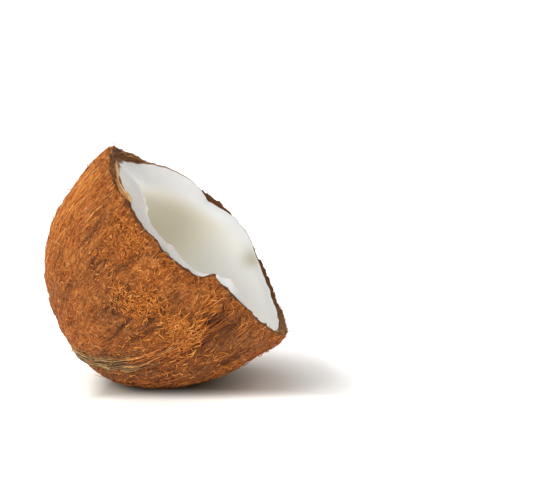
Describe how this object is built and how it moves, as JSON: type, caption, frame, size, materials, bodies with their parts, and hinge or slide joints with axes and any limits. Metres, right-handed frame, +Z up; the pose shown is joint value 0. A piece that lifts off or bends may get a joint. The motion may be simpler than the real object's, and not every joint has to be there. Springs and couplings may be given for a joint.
{
  "type": "coconut half",
  "caption": "Half of a mature brown coconut lying on its rounded side, with a fibrous outside, a ragged shell edge and white flesh lining an open hollow.",
  "frame": {"origin": "centre of the small flat that the half rests on, on the surface under it", "axes": "+Z up; +X is the level direction that the tilted opening faces; +Y across the opening, to the left when looking along +X. The nut's long axis lies in the XZ plane, 45 degrees above level at the opening"},
  "size_m": [0.1057, 0.1107, 0.1031],
  "materials": {
    "husk_fibre": "dry matted orange-brown coconut fibre over a hard brown shell",
    "coconut_flesh": "moist firm white coconut flesh, slightly translucent"
  },
  "bodies": {
    "root": {"coconut_shell": "husk_fibre", "coconut_flesh": "coconut_flesh"}
  },
  "joints": []
}
